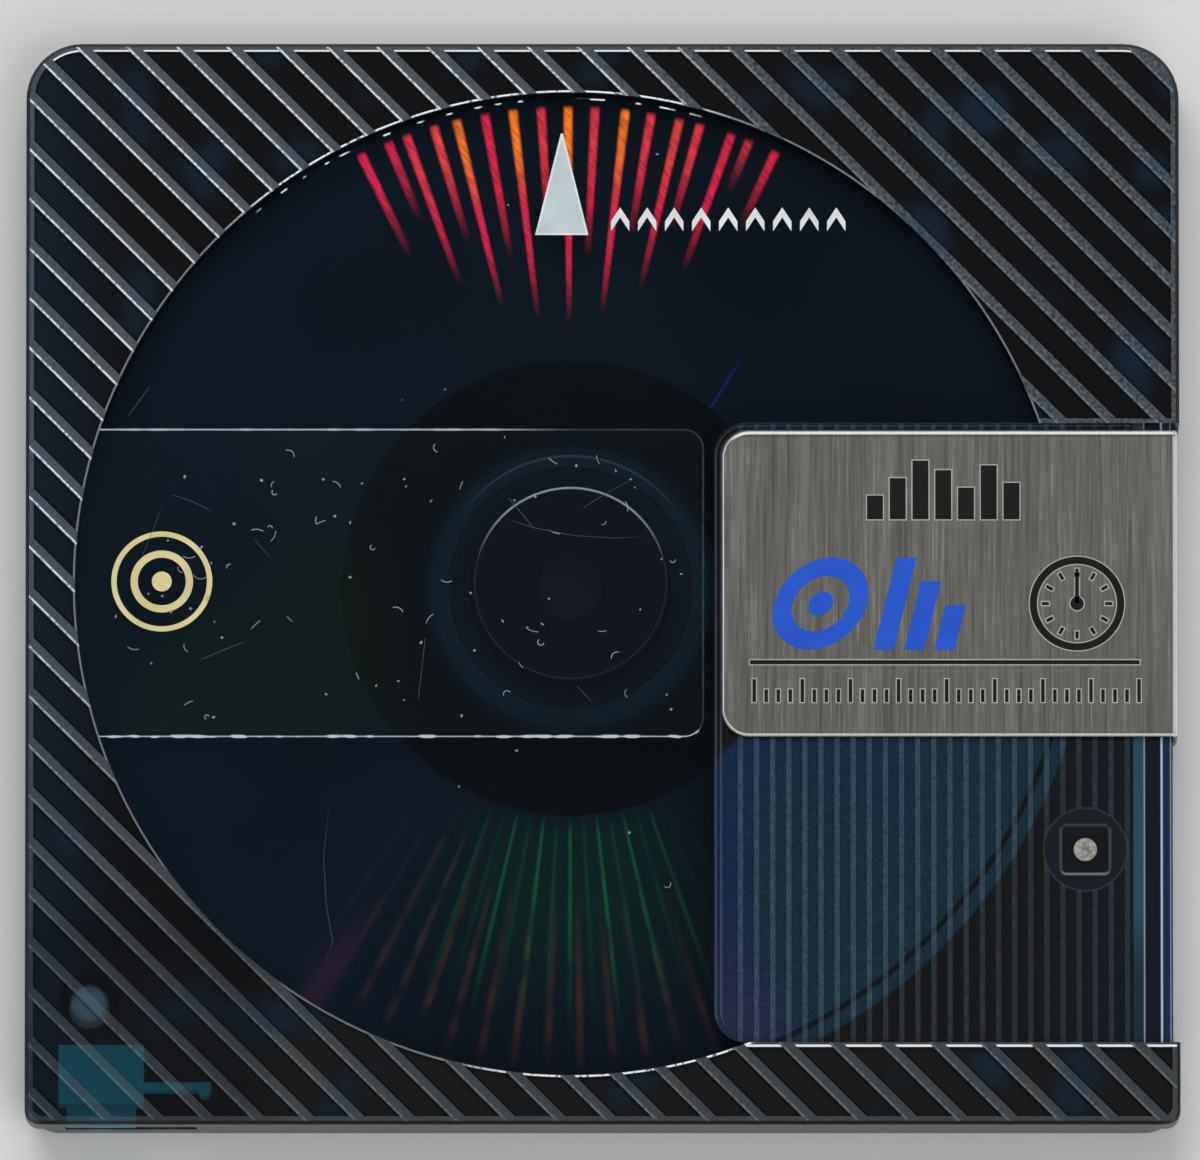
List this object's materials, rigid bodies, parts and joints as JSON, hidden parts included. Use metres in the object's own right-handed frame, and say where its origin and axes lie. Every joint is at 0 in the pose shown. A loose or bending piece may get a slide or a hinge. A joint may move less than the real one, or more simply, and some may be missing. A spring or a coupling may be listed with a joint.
{
  "type": "minidisc",
  "caption": "Flat recordable disc cartridge with tinted clear shells, slanted ribs, a sliding metal shutter and a disc inside.",
  "frame": {"origin": "centre of the hub opening, on the disc's axis, at the plane of the underside", "axes": "+X towards the shutter's side, +Y towards the end that goes into the player, +Z towards the label side"},
  "size_m": [0.072, 0.068, 0.005],
  "materials": {
    "smoke_shell": "smoke-tinted clear plastic, polished over the disc, frosted slanted ribs",
    "smoke_base": "smoke-tinted clear plastic, fine frosted outside",
    "brushed_shutter": "stainless sheet brushed along its travel, bright bevelled edge",
    "guide_plastic": "dark low-friction plastic",
    "lock_plastic": "dark moulded plastic",
    "disc_clear": "clear polycarbonate with a dark reflection",
    "disc_film": "dark blue sputtered film with coloured glints",
    "clamp_steel": "pressed magnetic steel",
    "tab_teal": "teal moulded plastic"
  },
  "bodies": {
    "cartridge": {"upper_shell": "smoke_shell", "lower_shell": "smoke_base"},
    "shutter": {"shutter": "brushed_shutter", "shutter_guide": "guide_plastic"},
    "lock": {"shutter_lock": "lock_plastic"},
    "disc": {"disc": "disc_clear", "recording_layer": "disc_film", "clamping_plate": "clamp_steel"},
    "tab": {"write_protect_tab": "tab_teal"}
  },
  "joints": [
    {"name": "shutter_slide", "type": "slide", "parent": "cartridge", "child": "shutter", "axis": [0, -1, 0], "range_m": [0, 0.0188]},
    {"name": "disc_spin", "type": "hinge", "parent": "cartridge", "child": "disc", "pos_m": [0, 0, 0.0019], "axis": [0, 0, 1], "continuous": true},
    {"name": "tab_slide", "type": "slide", "parent": "cartridge", "child": "tab", "axis": [1, 0, 0], "range_m": [0, 0.0037]},
    {"name": "lock_swing", "type": "hinge", "parent": "cartridge", "child": "lock", "pos_m": [0.0334, 0.0205, 0.0025], "axis": [0, 0, -1], "range_deg": [0, 3], "stiffness_Nm_per_rad": 0.002}
  ]
}
